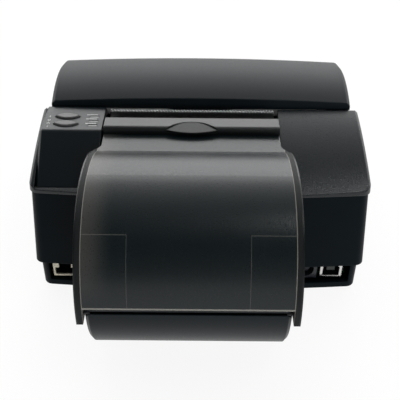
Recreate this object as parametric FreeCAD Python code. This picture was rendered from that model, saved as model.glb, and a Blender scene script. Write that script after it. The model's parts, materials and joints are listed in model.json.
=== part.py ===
"""Two-station counter printer: a rear clamshell receipt station and a hooded front slip station.

Frame: millimetres, +Z up, +Y towards the rear (paper bucket side), origin under the middle of the
whole object on the table. +X is the side that carries the control panel.
Lengths along Y are written from the rear wall, negative towards the front, and shifted by REAR_Y.
"""
import FreeCAD
import Part
import math
import os

Vec = FreeCAD.Vector

# Overall case
FOOT_HEIGHT = 3.0            # table to case underside
FOOT_RADIUS = 6.0
FOOT_INSET = 14.0            # foot centre from the base edge
BODY_DEPTH = 145.0           # rear wall to front wall
STEP_HALF = 88.6             # half width of the case at its lower edge
CASE_LEAN = 4.0              # each side leans in by this much up to the ridge
RIDGE_HALF = STEP_HALF - CASE_LEAN
PLINTH_STEP = 2.2            # plinth behind the case at the sides
BASE_HALF = STEP_HALF - PLINTH_STEP
BASE_INSET = 2.0             # plinth behind the case at front and rear
STEP_Z = 20.8                # plinth top
RIDGE_Z = 68.6               # lower case top
REAR_BOW = 1000.0            # plan radius of the bowed rear wall
WALL = 2.4                   # moulded case wall
SKIRT_PROUD = 0.7            # upper case stands proud of the lower case
CORNER_R = 5.0               # vertical case corners
SEAM = 0.15                  # gap between mating mouldings
EDGE_R = 1.2                 # softened outer edges

# Upper case roof
ROOF_Z = 88.0                # roof height beside the tear bar
ROOF_FRONT = -50.5           # front edge of the roof
RIDGE_TOP_Z = 70.6           # where the roof arc meets the rear wall
ROOF_BULGE = 3.6             # rise of the roof arc over its chord
TIE_THICK = 1.2              # strip that joins both roof halves in front of the head
TIE_HEIGHT = 1.8

# Receipt channel and roll
CHANNEL_X = 4.6              # middle of the receipt station
PAPER_WIDTH = 80.0
CHANNEL_MARGIN = 5.5         # channel side beyond the paper edge
CHANNEL_HALF = PAPER_WIDTH / 2 + CHANNEL_MARGIN
ROLL_Y = 19.5                # roll axis behind the rear wall
ROLL_Z = 49.0
BUCKET_R = 43.0              # bucket outside
BUCKET_WALL = 2.5
ROLL_PLAY = 3.5              # roll end to bucket wall
BUCKET_HALF = PAPER_WIDTH / 2 + ROLL_PLAY + BUCKET_WALL
BUCKET_FRONT_Z = 66.0        # top of the bucket's front wall
BUCKET_EDGE = 1.6            # broken side edges of the bucket
COVER_R = 46.0               # roll cover outside, rear arc
COVER_TOP_R = 62.0           # roll cover outside, top arc
COVER_SKIN = 2.4
CHEEK_THICK = 3.0
CHEEK_GAP = 0.4              # cheek to bucket side
COVER_HALF = BUCKET_HALF + CHEEK_GAP + CHEEK_THICK
CHEEK_FRONT = 5.0            # front edge of the side cheeks, behind the rear wall
CHEEK_DEPTH = 9.0            # depth of the cheeks where they ride over the roof
RIM_Z = 55.6                 # lower edge of the cover at the rear
RIM_GAP = 0.6                # bucket rim below the cover edge
LUG_Z = 46.6                 # lower end of the hinge lugs
HINGE_Y = 61.0
HINGE_Z = 51.0
HINGE_R = 1.6
BULGE_FRONT = -10.0          # where the bulge meets the neck
NECK_GAP = 0.6               # neck and grip bar to the channel side
NECK_HALF = CHANNEL_HALF - NECK_GAP
NECK_Z = 86.4
NECK_FRONT = -30.0
FLARE_FRONT = -18.0          # where the neck starts to flare out to the bulge
RUN_GAP = 0.06               # radial running clearance of a pin or shaft

# Grip bar at the front of the cover
BAR_REAR = -27.5
BAR_FRONT = -39.5
BAR_TOP = 90.2
BAR_EDGE_R = 2.4
SCOOP_LENGTH = 26.0
SCOOP_DEPTH = 6.4

# Platen, head and tear bar
PLATEN_Y = -34.0
PLATEN_Z = 77.0
PLATEN_R = 6.0
SHAFT_R = 2.5
BUSH_R = 4.2
BRACKET_THICK = 1.4
BRACKET_GAP = 0.5            # side play between roller, plates and gear
HEAD_GAP = 0.3               # paper gap at the print line
HEAD_THICK = 3.4
HEAD_LOW = 66.0
HEAD_HIGH = 82.0
LEAF_GAP = 1.8               # room for the leaf spring behind the head
LEAF_THICK = 0.4
PLATE = 1.2                  # sheet metal
TEAR_TOP = 90.6
TEAR_THICK = 1.0
TEAR_OVER = 3.6              # tear bar beyond the paper edge
TOOTH_PITCH = 1.6            # tear teeth
TOOTH_HEIGHT = 1.0

# Feed gear train
MODULE = 0.6
PLATEN_TEETH = 22
IDLER_TEETH = 30
PINION_TEETH = 12
GEAR_THICK = 2.0
BACKLASH = 0.12
IDLER_ANGLE = -106.0         # from the platen axis, degrees from +Y towards +Z
PINION_ANGLE = -75.0
MOTOR_R = 12.5
MOTOR_LENGTH = 20.0

# Control panel
PANEL_HALF_GAP = 0.4         # side gap to the channel
PANEL_BORDER = 6.6           # outer side of the panel block inside the lower case edge
PANEL_OUT = STEP_HALF - PANEL_BORDER
PANEL_IN = CHANNEL_X + CHANNEL_HALF + PANEL_HALF_GAP
PANEL_WIDTH = PANEL_OUT - PANEL_IN
PANEL_TOP = 88.8
PANEL_REAR_TOP = -27.4
PANEL_REAR_LOW = -2.6
PANEL_LOW_Z = 71.0
PANEL_CORNER_R = 2.6
PANEL_WALL = 2.0
BUTTON_WIDTH = 5.0
BUTTON_PROUD = 0.9
BUTTON_TRAVEL = 0.6
BUTTON_GAP = 0.25
BUTTON_STEM = 3.4            # square of the stem under the cap
BUTTON_Y = (-33.2, -40.4)    # power, feed
BUTTON_LENGTH = 13.0
LED_LENGTH = 4.4
PANEL_ROOM = PANEL_WIDTH - BUTTON_LENGTH - LED_LENGTH
LED_X = PANEL_IN + 0.2 * PANEL_ROOM + LED_LENGTH / 2
BUTTON_X = PANEL_OUT - 0.43 * PANEL_ROOM - BUTTON_LENGTH / 2
LED_Y = (-32.0, -36.2, -40.4)
LED_WIDTH = 1.3
BOARD_THICK = 1.6
PANEL_BOARD_Z = 80.2

# Rear sockets
WINDOW_LOW = 6.8
WINDOW_HIGH = 19.4
WINDOW_SIDE = 4.4            # window edge from the plinth side
WINDOW_OUT = BASE_HALF - WINDOW_SIDE
WINDOW_IN = 4.5              # window edge from the bucket side
SOCKET_Z = 13.4
USB_INSET = 14.0             # socket middles from the plinth side
USB_X = USB_INSET - BASE_HALF
USB_SIZE = (12.0, 10.9, 16.0)
DRAWER_INSET = 12.6
DRAWER_X = BASE_HALF - DRAWER_INSET
DRAWER_SIZE = (13.4, 12.2, 15.0)
POWER_STEP = 14.2            # supply socket beside the data socket
POWER_X = USB_X + POWER_STEP
POWER_SIZE = (13.0, 11.6, 13.0)
SOCKET_INSET = 1.2           # socket faces behind the window
MAIN_BOARD_FRONT = -58.0

# Hood and slip station
HOOD_STEP = 8.6              # hood side inside the lower case edge
HOOD_HALF = STEP_HALF - HOOD_STEP
HOOD_REAR = -52.6
HOOD_CREST_Z = 98.0
HOOD_CROWN = 1500.0          # radius of the crown across the width
HOOD_WALL = 2.4
HOOD_REAR_LOW = 87.0         # lower edge of the rear lip
HOOD_SETBACK = 2.0           # hood lip behind the case front
HOOD_LIP_Y = HOOD_SETBACK - BODY_DEPTH
CREST_REACH = 67.0           # crest behind the hood lip
HOOD_CREST_Y = HOOD_LIP_Y + CREST_REACH
HOOD_R = 60.0                # crest arc, seen from the side
HOOD_SLOPE = 42.0            # where the crest arc runs into the front slope, degrees
HOOD_LIP_Z = 51.0
SHELF_Z = 44.0               # slip table top
SHELF_GAP = 0.5
TABLE_THICK = 2.0
PIN_SETBACK = 9.0            # hood hinge behind the case front
HOOD_PIN_Y = PIN_SETBACK - BODY_DEPTH
HOOD_PIN_Z = 56.0
EAR_HALF = 6.0               # hood hinge ear, half length
EAR_THICK = 3.0

# Slip carriage
ROD_R = 3.0
ROD_Z = 62.0
ROD_SETBACK = 39.0           # front rod behind the hood lip
ROD_Y = (-76.0, HOOD_LIP_Y + ROD_SETBACK)
ROD_INSET = 4.0              # rod ends inside the hood
ROD_HALF = HOOD_HALF - ROD_INSET
END_PLATE = 2.0
CARRIAGE_HALF = 19.0
CARRIAGE_LOW = 49.0
CARRIAGE_HIGH = 70.0
CARRIAGE_MARGIN = 6.0        # material outside the rod bores
CARRIAGE_TRAVEL = 41.0
CASSETTE_HIGH = 79.0
CASSETTE_MARGIN = 3.0
NOSE_R = 4.0
NOSE_LOW = 45.2
PULLEY_R = 6.0
PULLEY_INSET = 11.0          # pulley axis inside the hood
PULLEY_X = HOOD_HALF - PULLEY_INSET
PULLEY_LOW = 66.0
PULLEY_HIGH = 73.0
BELT_THICK = 1.2
BELT_MARGIN = 1.0
BELT_Y = -64.0
CARRIAGE_MOTOR_R = 7.4
STUD_R = 1.5
SCREW_R = 3.0
SCREW_HEAD = 1.4

REAR_Y = (BODY_DEPTH - ROLL_Y - COVER_R) / 2.0
ROOF_LIMIT = ROOF_Z + COVER_R / 2


# Building blocks


def box(x0, x1, y0, y1, z0, z1):
    """Block between two corners; y is measured from the rear wall."""
    return Part.makeBox(x1 - x0, y1 - y0, z1 - z0, Vec(x0, y0 + REAR_Y, z0))


def rod_x(x0, x1, y, z, radius):
    """Round bar along X."""
    return Part.makeCylinder(radius, x1 - x0, Vec(x0, y + REAR_Y, z), Vec(1, 0, 0))


def rod_z(x, y, z0, z1, radius):
    """Round bar along Z."""
    return Part.makeCylinder(radius, z1 - z0, Vec(x, y + REAR_Y, z0), Vec(0, 0, 1))


def rod_y(x, z, y0, y1, radius):
    """Round bar along Y."""
    return Part.makeCylinder(radius, y1 - y0, Vec(x, y0 + REAR_Y, z), Vec(0, 1, 0))


def outline(start, *steps):
    """Closed wire in the YZ plane: a step is an end point, or a (through, end) pair for an arc."""
    def at(point):
        return Vec(0, point[0] + REAR_Y, point[1])

    edges = []
    here = at(start)
    for step in (*steps, start):
        if isinstance(step[0], tuple):
            end = at(step[1])
            edges.append(Part.Arc(here, at(step[0]), end).toShape())
        else:
            end = at(step)
            if end.distanceToPoint(here) < 1e-6:
                continue
            edges.append(Part.LineSegment(here, end).toShape())
        here = end
    return Part.Wire(edges)


def prism_x(wire, x0, x1):
    """Profile in the YZ plane, swept along X."""
    moved = wire.copy()
    moved.translate(Vec(x0, 0, 0))
    return Part.Face(moved).extrude(Vec(x1 - x0, 0, 0))


def on_circle(centre, radius, degrees):
    """Point of a circle in the YZ plane."""
    turn = math.radians(degrees)
    return (centre[0] + radius * math.cos(turn), centre[1] + radius * math.sin(turn))


def arc_to(centre, radius, start, end):
    """Step for outline(): the arc between two angles of a circle."""
    return (on_circle(centre, radius, (start + end) / 2.0), on_circle(centre, radius, end))


def plan_wire(half, front, rear, z, corner):
    """Case outline seen from above: straight front and sides, bowed rear, rounded corners."""
    sag = REAR_BOW - math.sqrt(REAR_BOW ** 2 - half ** 2)
    hub = rear + REAR_Y + sag / 2 - REAR_BOW
    x = half - corner
    y_rear = hub + math.sqrt((REAR_BOW - corner) ** 2 - x ** 2)
    y_front = front + REAR_Y + corner
    reach = REAR_BOW / (REAR_BOW - corner)
    slant = corner * math.sqrt(0.5)

    def rear_corner(side):
        bow = Vec(side * x * reach, hub + (y_rear - hub) * reach, z)
        return [bow, Vec(side * (x + slant), y_rear + slant, z), Vec(side * half, y_rear, z)]

    def front_corner(side):
        low = Vec(side * x, y_front - corner, z)
        return [Vec(side * half, y_front, z), Vec(side * (x + slant), y_front - slant, z), low]

    right, left = rear_corner(1), rear_corner(-1)
    near_right, near_left = front_corner(1), front_corner(-1)
    crown = Vec(0, hub + REAR_BOW, z)
    return Part.Wire([
        Part.Arc(right[0], crown, left[0]).toShape(),
        Part.Arc(*left).toShape(),
        Part.LineSegment(left[2], near_left[0]).toShape(),
        Part.Arc(*near_left).toShape(),
        Part.LineSegment(near_left[2], near_right[2]).toShape(),
        Part.Arc(*near_right[::-1]).toShape(),
        Part.LineSegment(near_right[0], right[2]).toShape(),
        Part.Arc(*right[::-1]).toShape(),
    ])


def drafted(half_low, half_high, z_low, z_high, inset=0.0, front=-BODY_DEPTH, rear=0.0):
    """Solid between two plan outlines, the sides leaning in with height, taken in by inset."""
    corner = CORNER_R - inset
    low = plan_wire(half_low - inset, front + inset, rear - inset, z_low, corner)
    high = plan_wire(half_high - inset, front + inset, rear - inset, z_high, corner)
    return Part.makeLoft([low, high], True, True)


def leaning_block(half_low, half_high, z_low, z_high, front, rear):
    """Straight-walled block whose sides lean in with height."""
    rings = []
    for half, z in ((half_low, z_low), (half_high, z_high)):
        plan = ((-half, front), (half, front), (half, rear), (-half, rear))
        corners = [Vec(x, y + REAR_Y, z) for x, y in plan]
        rings.append(Part.makePolygon(corners + corners[:1]))
    return Part.makeLoft(rings, True, True)


def upright(edge):
    """True for an edge that runs mostly along Z."""
    first, last = edge.Vertexes[0].Point, edge.Vertexes[-1].Point
    return abs(last.z - first.z) > 0.9 * edge.Length and edge.Length > WALL


def half_at(z):
    """Half width of the leaning case side at a height."""
    return STEP_HALF + (RIDGE_HALF - STEP_HALF) * (z - STEP_Z) / (RIDGE_Z - STEP_Z)


def plate_hole(plate, x0, x1, y, z, radius):
    """The plate with a hole along X."""
    return plate.cut(rod_x(x0 - WALL, x1 + WALL, y, z, radius))


# Case mouldings


def bucket_clearance():
    """Space that the bucket and its play take out of the case."""
    edge = BUCKET_HALF + SEAM
    around = rod_x(CHANNEL_X - edge, CHANNEL_X + edge, ROLL_Y, ROLL_Z, BUCKET_R + SEAM)
    above = box(CHANNEL_X - edge, CHANNEL_X + edge, ROLL_Y - BUCKET_R - SEAM, ROLL_Y + BUCKET_R,
                ROLL_Z, ROOF_LIMIT)
    return around.fuse(above)


def base_tray():
    """Plinth pan with the rear socket windows and feet pockets left flat."""
    front, rear = -BODY_DEPTH + BASE_INSET, -BASE_INSET
    outer = drafted(BASE_HALF, BASE_HALF, FOOT_HEIGHT, STEP_Z, 0, front, rear)
    inner = drafted(BASE_HALF, BASE_HALF, FOOT_HEIGHT + WALL, STEP_Z + WALL, WALL, front, rear)
    tray = outer.cut(inner).cut(bucket_clearance())
    for side in (1, -1):
        inside = CHANNEL_X + side * (BUCKET_HALF + WINDOW_IN)
        low, high = sorted((inside, side * WINDOW_OUT))
        tray = tray.cut(box(low, high, -BASE_INSET - 3 * WALL, WALL * 2, WINDOW_LOW, WINDOW_HIGH))
    return tray


def lower_case():
    """Leaning case ring, cut down at the front to carry the hood and the slip table."""
    outer = drafted(STEP_HALF, RIDGE_HALF, STEP_Z, RIDGE_Z)
    outer = outer.cut(box(-STEP_HALF, STEP_HALF, -BODY_DEPTH, HOOD_REAR - SEAM, SHELF_Z, RIDGE_Z))
    inner = drafted(STEP_HALF, RIDGE_HALF, STEP_Z, RIDGE_Z, WALL)
    return outer.cut(inner).cut(bucket_clearance())


def roof_outline(drop, front, low):
    """Side view of the roof: a rising arc from the ridge to the hood, lowered by drop."""
    ridge = (WALL * 2, RIDGE_TOP_Z - drop - WALL * 1.2)
    top = (front, ROOF_Z - drop)
    middle = ((ridge[0] + top[0]) / 2, (ridge[1] + top[1]) / 2 + ROOF_BULGE)
    return outline((front, low), (ridge[0], low), ridge, (middle, top))


def upper_case():
    """Roof moulding with the receipt channel and the seat of the control panel cut out."""
    proud = half_at(RIDGE_Z) + SKIRT_PROUD
    tip = half_at(ROOF_LIMIT) + SKIRT_PROUD
    ahead = ROOF_FRONT - 2 * CORNER_R
    block = drafted(proud, tip, RIDGE_Z, ROOF_LIMIT, 0, ahead, SKIRT_PROUD)
    inside = drafted(proud, tip, RIDGE_Z, ROOF_LIMIT, WALL, ahead, SKIRT_PROUD)
    roof = prism_x(roof_outline(0, ROOF_FRONT, RIDGE_Z), -STEP_HALF, STEP_HALF)
    under = prism_x(roof_outline(WALL, ROOF_FRONT - WALL, RIDGE_Z - WALL), -STEP_HALF, STEP_HALF)
    solid = leaning_block(proud, tip, RIDGE_Z, ROOF_LIMIT, ahead, 3 * WALL).common(roof)
    sides = [e for e in solid.Edges if abs(e.CenterOfMass.x) > RIDGE_HALF - WALL
             and e.CenterOfMass.z > RIDGE_TOP_Z + WALL and not upright(e)]
    solid = solid.makeChamfer(EDGE_R, sides).common(block)
    shell = solid.cut(inside.common(under))
    shell = shell.cut(box(CHANNEL_X - CHANNEL_HALF, CHANNEL_X + CHANNEL_HALF, ROOF_FRONT - WALL,
                          WALL * 4, RIDGE_Z - WALL, ROOF_LIMIT))
    inner_side = CHANNEL_X - CHANNEL_HALF
    cheek = solid.common(box(inner_side - WALL, inner_side, ROOF_FRONT, WALL * 4, RIDGE_Z, ROOF_LIMIT))
    tie = box(-RIDGE_HALF + SEAM, RIDGE_HALF - SEAM, ROOF_FRONT, ROOF_FRONT + TIE_THICK,
              RIDGE_Z, RIDGE_Z + TIE_HEIGHT)
    return shell.fuse(cheek).cut(panel_seat()).fuse(tie).removeSplitter()


# Control panel


def panel_outline(grow):
    """Side view of the panel block: flat top, rounded shoulder, sloping rear face."""
    slope = math.atan2(PANEL_TOP - PANEL_LOW_Z, PANEL_REAR_LOW - PANEL_REAR_TOP)
    reach = PANEL_CORNER_R * math.tan(slope / 2)
    start = (PANEL_REAR_TOP - reach, PANEL_TOP + grow)
    centre = (start[0], PANEL_TOP - PANEL_CORNER_R)
    radius = PANEL_CORNER_R + grow
    turn = math.degrees(slope)
    low = (PANEL_REAR_LOW + grow / math.sin(slope), PANEL_LOW_Z)
    bottom = PANEL_LOW_Z - 2 * SEAM - max(grow, 0)
    return outline((ROOF_FRONT - grow, bottom), (ROOF_FRONT - grow, start[1]), start,
                   arc_to(centre, radius, 90, 90 - turn), low, (low[0], bottom))


def panel_sides(grow):
    """Inner and outer X of the panel block."""
    return PANEL_IN - grow, PANEL_OUT + grow


def panel_block(grow):
    """Solid block of the panel, grown by a gap all round."""
    return prism_x(panel_outline(grow), *panel_sides(grow))


def panel_seat():
    """Space in the roof that the panel drops into, with a shallow ledge behind its foot."""
    rear = 3 * WALL
    ledge = outline((PANEL_REAR_TOP, PANEL_LOW_Z), (PANEL_REAR_LOW, PANEL_LOW_Z),
                    (rear, PANEL_LOW_Z - WALL), (rear, ROOF_LIMIT), (PANEL_REAR_TOP, ROOF_LIMIT))
    return panel_block(SEAM).fuse(prism_x(ledge, *panel_sides(SEAM)))


def button_outline(y, grow):
    """Plan of a button cap: a straight bar with a bowed rear edge."""
    half, depth = BUTTON_LENGTH / 2 + grow, BUTTON_WIDTH / 2 + grow
    left, right = Vec(BUTTON_X - half, y + REAR_Y, 0), Vec(BUTTON_X + half, y + REAR_Y, 0)
    rear = Vec(BUTTON_X, y + depth + REAR_Y, 0)
    front = Vec(BUTTON_X, y - depth + REAR_Y, 0)
    return Part.Wire([Part.Arc(left, rear, right).toShape(), Part.Arc(right, front, left).toShape()])


def button_solid(y, grow, z0, z1):
    """Lens-shaped upright block for a cap or its hole."""
    wire = button_outline(y, grow)
    wire.translate(Vec(0, 0, z0))
    return Part.Face(wire).extrude(Vec(0, 0, z1 - z0))


def led_block(y, z0, z1, grow=0.0):
    """Slot or light pipe of one lamp."""
    return box(LED_X - LED_LENGTH / 2 - grow, LED_X + LED_LENGTH / 2 + grow,
               y - LED_WIDTH / 2 - grow, y + LED_WIDTH / 2 + grow, z0, z1)


def control_panel():
    """Panel housing, open underneath, with holes for caps and lamps."""
    low, high = panel_sides(0)
    block = panel_block(0)
    edge = [e for e in block.Edges if e.CenterOfMass.x > high - SEAM
            and e.CenterOfMass.z > PANEL_LOW_Z + WALL and not upright(e)]
    block = block.makeChamfer(EDGE_R, edge)
    hollow = prism_x(panel_outline(-PANEL_WALL), low + PANEL_WALL, high - PANEL_WALL)
    panel = block.cut(hollow)
    panel = panel.cut(box(low + PANEL_WALL, high - PANEL_WALL, ROOF_FRONT + PANEL_WALL,
                          PANEL_REAR_LOW - PANEL_WALL * 3, PANEL_LOW_Z - 2 * WALL, PANEL_LOW_Z + WALL))
    for y in BUTTON_Y:
        panel = panel.cut(button_solid(y, BUTTON_GAP, PANEL_BOARD_Z, ROOF_LIMIT))
    for y in LED_Y:
        panel = panel.cut(led_block(y, PANEL_BOARD_Z, ROOF_LIMIT, SEAM))
    return panel


def button(y):
    """Cap with a crowned top, a retaining flange and a stem down to its switch."""
    top = PANEL_TOP + BUTTON_PROUD
    cap = button_solid(y, 0, PANEL_TOP - PANEL_WALL - BUTTON_TRAVEL, top)
    rim = [e for e in cap.Edges if e.CenterOfMass.z > top - SEAM]
    cap = cap.makeChamfer(BUTTON_PROUD * 0.5, rim)
    half = BUTTON_STEM / 2
    foot = PANEL_BOARD_Z + BOARD_THICK + BUTTON_TRAVEL + SEAM
    return cap.fuse(box(BUTTON_X - half, BUTTON_X + half, y - half / 2, y + half / 2, foot,
                        PANEL_TOP - PANEL_WALL)).removeSplitter()


def led_windows():
    """Three light pipes, from the panel board to just under the panel face."""
    top = PANEL_TOP - SEAM
    return Part.makeCompound([led_block(y, PANEL_BOARD_Z + BOARD_THICK, top) for y in LED_Y])


def panel_board():
    """Switch board held across the panel housing under the caps."""
    low, high = panel_sides(0)
    return box(low + PANEL_WALL, high - PANEL_WALL, ROOF_FRONT + PANEL_WALL,
               PANEL_REAR_TOP - 2 * PANEL_WALL, PANEL_BOARD_Z, PANEL_BOARD_Z + BOARD_THICK)


# Roll bucket and roll cover


def bucket_profile(radius, rim_z):
    """Side view of the tub: a round floor up to a level rim."""
    centre = (ROLL_Y, ROLL_Z)
    rim = math.degrees(math.asin((rim_z - ROLL_Z) / radius))
    return outline(on_circle(centre, radius, 180 - rim), arc_to(centre, radius, 180 - rim, 360 + rim))


def paper_bucket():
    """Drop-in tub for the roll with sockets for the hinge pins."""
    rim_z = RIM_Z - RIM_GAP
    left, right = CHANNEL_X - BUCKET_HALF, CHANNEL_X + BUCKET_HALF
    outer = prism_x(bucket_profile(BUCKET_R, rim_z), left, right)
    ends = [e for e in outer.Edges if e.Length > 2 * BUCKET_R and abs(e.CenterOfMass.x - CHANNEL_X) > SEAM]
    outer = outer.makeChamfer(BUCKET_EDGE, ends)
    inner = prism_x(bucket_profile(BUCKET_R - BUCKET_WALL, rim_z), left + BUCKET_WALL, right - BUCKET_WALL)
    front = ROLL_Y - BUCKET_R
    wall = box(left, right, front, front + BUCKET_WALL, ROLL_Z, BUCKET_FRONT_Z)
    tub = outer.cut(inner).fuse(wall)
    return tub.cut(rod_x(left - WALL, right + WALL, HINGE_Y, HINGE_Z, HINGE_R))


def hinge_pins():
    """Two steel pins, pressed into the bucket sides, that the cover turns on."""
    left, right = CHANNEL_X - BUCKET_HALF, CHANNEL_X + BUCKET_HALF
    outside = COVER_HALF - BUCKET_HALF
    return Part.makeCompound([
        rod_x(left - outside, left + BUCKET_WALL, HINGE_Y, HINGE_Z, HINGE_R),
        rod_x(right - BUCKET_WALL, right + outside, HINGE_Y, HINGE_Z, HINGE_R),
    ])


def cover_crown():
    """Centre of the cover's top arc, and the angle where that arc meets the neck."""
    front = 180 - math.degrees(math.acos((ROLL_Y - BULGE_FRONT) / COVER_TOP_R))
    return (ROLL_Y, ROLL_Z + COVER_R - COVER_TOP_R), front


def cover_rise(low_z):
    """Steps along the cover's outside, from the bulge front over the top to a lower edge."""
    crown, front = cover_crown()
    rear = (ROLL_Y, ROLL_Z)
    low = math.degrees(math.asin((low_z - ROLL_Z) / COVER_R))
    start = on_circle(crown, COVER_TOP_R, front)
    return start, [arc_to(crown, COVER_TOP_R, front, 90), arc_to(rear, COVER_R, 90, low)]


def skin_outline():
    """Side view of the cover's skin with its neck."""
    crown, front = cover_crown()
    rear = (ROLL_Y, ROLL_Z)
    inner_r = COVER_R - COVER_SKIN
    low = math.degrees(math.asin((RIM_Z - ROLL_Z) / inner_r))
    start, steps = cover_rise(RIM_Z)
    neck = BULGE_FRONT - COVER_SKIN
    steps += [on_circle(rear, inner_r, low), arc_to(rear, inner_r, low, 90),
              arc_to(crown, COVER_TOP_R - COVER_SKIN, 90, front), (neck, NECK_Z - COVER_SKIN),
              (NECK_FRONT, NECK_Z - COVER_SKIN), (NECK_FRONT, NECK_Z), (neck, NECK_Z)]
    return outline(start, *steps)


def cheek_outline():
    """Side view of a cheek: the cover's outside, closed above the roof and behind the rear wall."""
    crown, front = cover_crown()
    start, steps = cover_rise(LUG_Z)
    tip = on_circle(crown, COVER_TOP_R - CHEEK_DEPTH, front)
    return outline(start, *steps, (CHEEK_FRONT, LUG_Z), (CHEEK_FRONT, tip[1]), tip)


def cover_plan():
    """The cover seen from above: a narrow neck that flares in an S-curve to the full width."""
    middle = (FLARE_FRONT + BULGE_FRONT) / 2
    half_way = (NECK_HALF + COVER_HALF) / 2
    bend = (COVER_HALF - NECK_HALF) / 8
    rear = ROLL_Y + COVER_R + WALL

    def at(side, half, y):
        return Vec(CHANNEL_X + side * half, y + REAR_Y, NECK_Z - COVER_R)

    edges = []
    for side in (1, -1):
        points = [at(side, NECK_HALF, FLARE_FRONT), at(side, NECK_HALF + bend, (FLARE_FRONT + middle) / 2),
                  at(side, half_way, middle), at(side, COVER_HALF - bend, (BULGE_FRONT + middle) / 2),
                  at(side, COVER_HALF, BULGE_FRONT)]
        edges += [Part.LineSegment(at(side, NECK_HALF, NECK_FRONT - WALL), points[0]).toShape(),
                  Part.Arc(points[0], points[1], points[2]).toShape(),
                  Part.Arc(points[2], points[3], points[4]).toShape(),
                  Part.LineSegment(points[4], at(side, COVER_HALF, rear)).toShape()]
    for half, y in ((NECK_HALF, NECK_FRONT - WALL), (COVER_HALF, rear)):
        edges.append(Part.LineSegment(at(-1, half, y), at(1, half, y)).toShape())
    return Part.Face(Part.Wire(Part.__sortEdges__(edges))).extrude(Vec(0, 0, 2 * COVER_R))


def roll_cover():
    """Smoked arch over the roll: skin with a flared neck, and two cheeks with hinge lugs."""
    left, right = CHANNEL_X - COVER_HALF, CHANNEL_X + COVER_HALF
    cover = prism_x(skin_outline(), left, right).common(cover_plan())
    for x in (left, right - CHEEK_THICK):
        cheek = prism_x(cheek_outline(), x, x + CHEEK_THICK)
        cover = cover.fuse(plate_hole(cheek, x, x + CHEEK_THICK, HINGE_Y, HINGE_Z, HINGE_R + RUN_GAP))
    return cover.removeSplitter()


def grip_bar():
    """Bar across the cover's front edge with a lens-shaped finger scoop in its rear lip."""
    left, right = CHANNEL_X - NECK_HALF, CHANNEL_X + NECK_HALF
    bar = box(left, right, BAR_FRONT, BAR_REAR, NECK_Z, BAR_TOP)
    lips = [e for e in bar.Edges if e.CenterOfMass.z > BAR_TOP - SEAM
            and abs(e.CenterOfMass.x - CHANNEL_X) < SEAM]
    bar = bar.makeFillet(BAR_EDGE_R, lips)
    radius = (SCOOP_LENGTH ** 2 / 4 + SCOOP_DEPTH ** 2) / (2 * SCOOP_DEPTH)
    scoop = rod_z(CHANNEL_X, BAR_REAR - SCOOP_DEPTH + radius, NECK_Z, NECK_Z + 4 * WALL, radius)
    ramp = prism_x(outline((BAR_REAR - SCOOP_DEPTH, BAR_TOP), (BAR_REAR + SEAM, NECK_Z + EDGE_R),
                           (BAR_REAR + SEAM, BAR_TOP + WALL), (BAR_REAR - SCOOP_DEPTH, BAR_TOP + WALL)),
                   CHANNEL_X - radius, CHANNEL_X + radius)
    return bar.cut(scoop.common(ramp))


def plate_offsets():
    """Inner face of the platen bracket plates, from the channel middle."""
    return PAPER_WIDTH / 2 + BRACKET_GAP


def platen_bracket():
    """Bent steel bracket under the grip bar, with bush holes in its end plates."""
    inside = plate_offsets()
    outside = inside + BRACKET_THICK
    under = NECK_Z - COVER_SKIN
    web = box(CHANNEL_X - outside, CHANNEL_X + outside, BAR_FRONT + WALL, NECK_FRONT - SEAM,
              NECK_Z - BRACKET_THICK, NECK_Z)
    bracket = web
    for side in (-1, 1):
        low, high = sorted((CHANNEL_X + side * inside, CHANNEL_X + side * outside))
        ear = box(low, high, PLATEN_Y - BUSH_R - WALL / 2, PLATEN_Y + BUSH_R, PLATEN_Z, under)
        ear = ear.fuse(rod_x(low, high, PLATEN_Y, PLATEN_Z, BUSH_R + EDGE_R))
        link = box(low, high, BAR_FRONT + WALL, NECK_FRONT - SEAM, under - EDGE_R, NECK_Z)
        bracket = bracket.fuse(plate_hole(ear.fuse(link), low, high, PLATEN_Y, PLATEN_Z, BUSH_R))
    return bracket.removeSplitter()


def platen_bushes():
    """Plain bearings pressed into the bracket plates."""
    inside = plate_offsets()
    rings = []
    for low in (CHANNEL_X - inside - BRACKET_THICK, CHANNEL_X + inside):
        ring = rod_x(low, low + BRACKET_THICK, PLATEN_Y, PLATEN_Z, BUSH_R)
        rings.append(plate_hole(ring, low, low + BRACKET_THICK, PLATEN_Y, PLATEN_Z, SHAFT_R + RUN_GAP))
    return Part.makeCompound(rings)


def gear_low():
    """Inner face of the feed gears along X."""
    return CHANNEL_X + plate_offsets() + BRACKET_THICK + BRACKET_GAP


def platen_shaft():
    """Steel shaft through the roller, the bushes and the gear."""
    far = CHANNEL_X - plate_offsets() - BRACKET_THICK - BRACKET_GAP
    return rod_x(far, gear_low() + GEAR_THICK, PLATEN_Y, PLATEN_Z, SHAFT_R)


def platen_roller():
    """Rubber sleeve that drives the paper."""
    low, high = CHANNEL_X - PAPER_WIDTH / 2, CHANNEL_X + PAPER_WIDTH / 2
    sleeve = rod_x(low, high, PLATEN_Y, PLATEN_Z, PLATEN_R)
    return plate_hole(sleeve, low, high, PLATEN_Y, PLATEN_Z, SHAFT_R)


# Feed gears and receipt print head


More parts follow.
